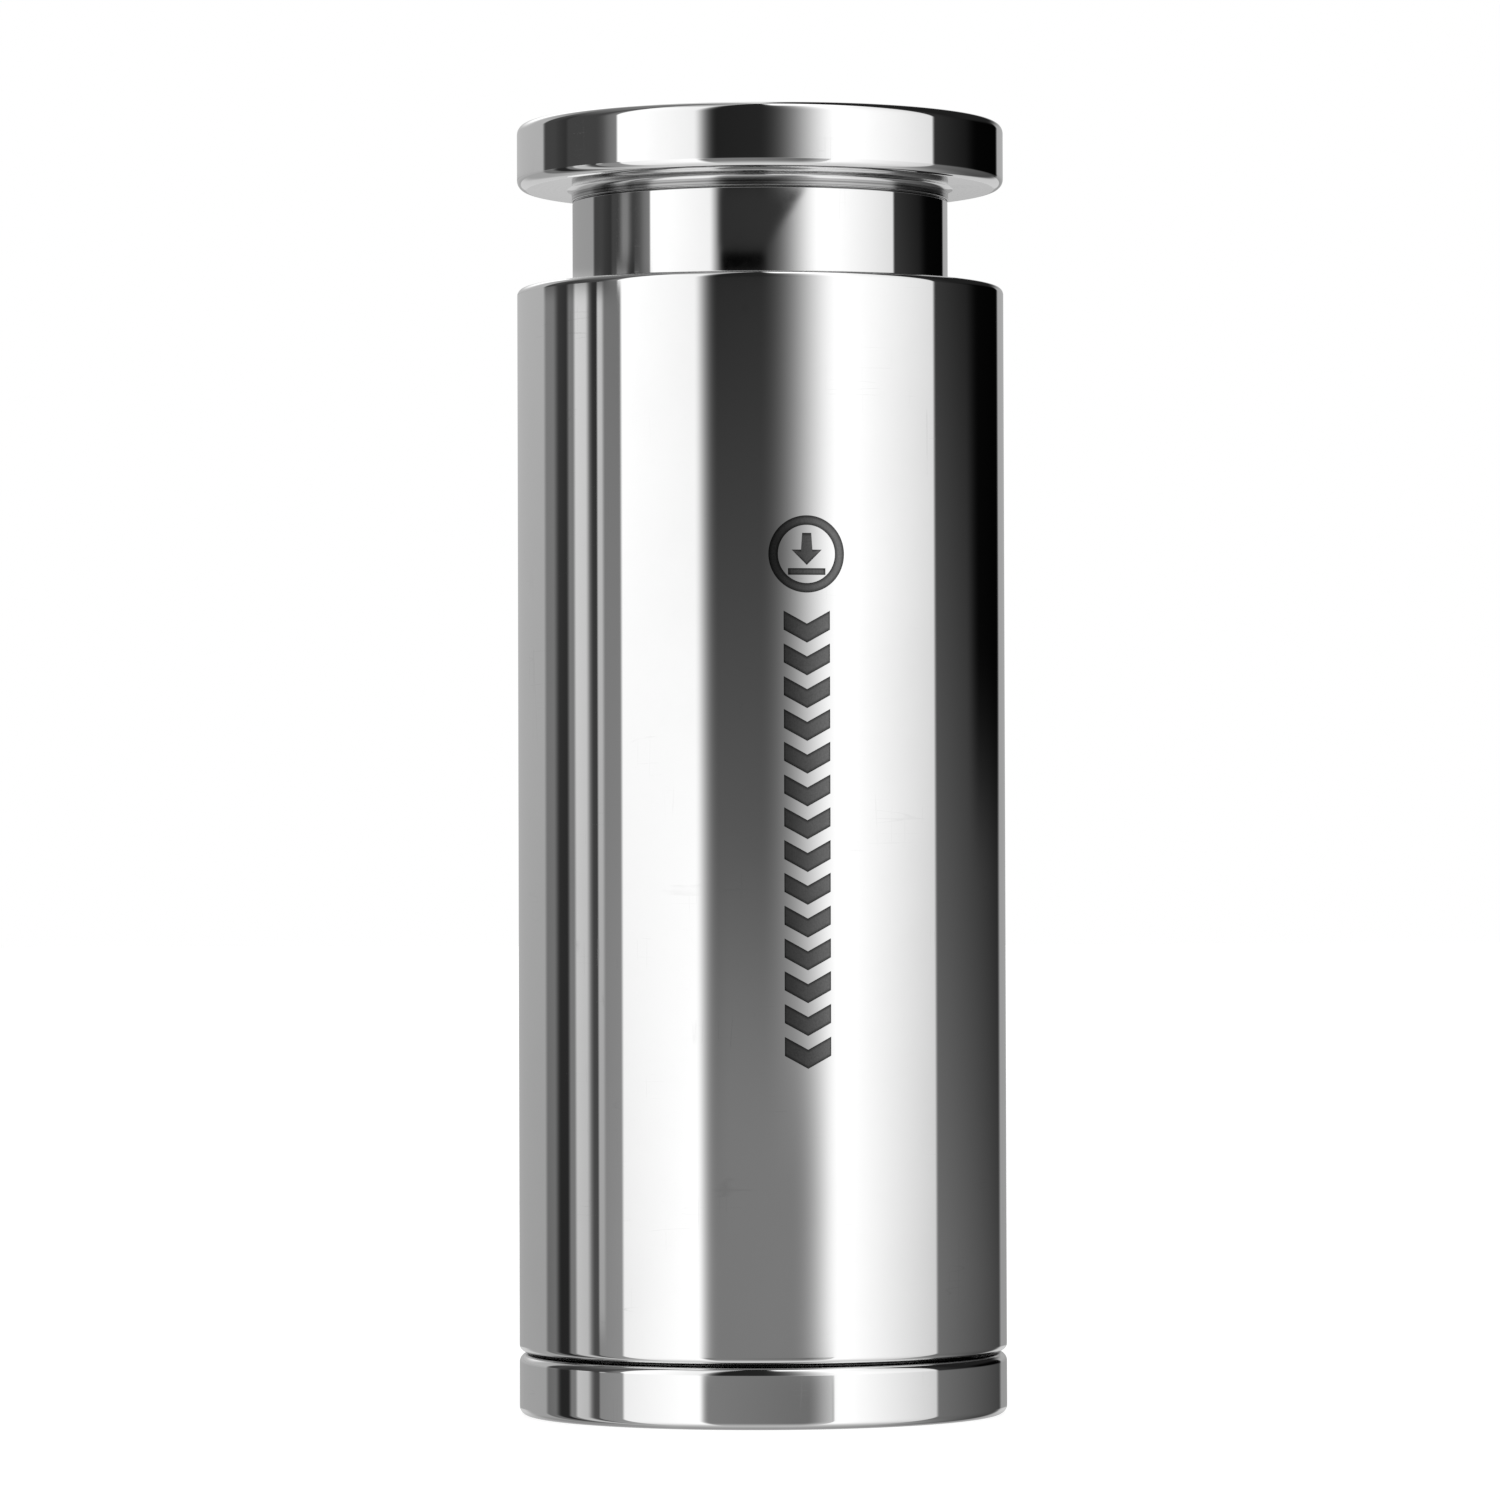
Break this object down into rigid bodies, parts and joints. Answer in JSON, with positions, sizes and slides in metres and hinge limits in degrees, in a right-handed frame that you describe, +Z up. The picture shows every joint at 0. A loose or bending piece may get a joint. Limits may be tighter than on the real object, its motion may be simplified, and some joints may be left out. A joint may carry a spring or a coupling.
{
  "type": "cylinder press mould",
  "caption": "Mirror-polished steel cylinder mould: a round-headed plunger slides in a thick straight sleeve that stands on a flanged base plug.",
  "frame": {"origin": "centre of the base plug's flat underside, on the axis", "axes": "+Z up along the axis that all three pieces share; the engraved mark on the sleeve faces -Y"},
  "size_m": [0.05, 0.05, 0.1324],
  "materials": {
    "base_steel": "polished",
    "sleeve_steel": "polished",
    "plunger_steel": "polished"
  },
  "bodies": {
    "base": {"base_plug": "base_steel"},
    "sleeve": {"sleeve": "sleeve_steel"},
    "plunger": {"plunger": "plunger_steel"}
  },
  "joints": [
    {"name": "sleeve_lift", "type": "slide", "parent": "base", "child": "sleeve", "axis": [0, 0, 1], "range_m": [0, 0.012]},
    {"name": "plunger_slide", "type": "slide", "parent": "sleeve", "child": "plunger", "axis": [0, 0, 1], "range_m": [0, 0.105]}
  ]
}
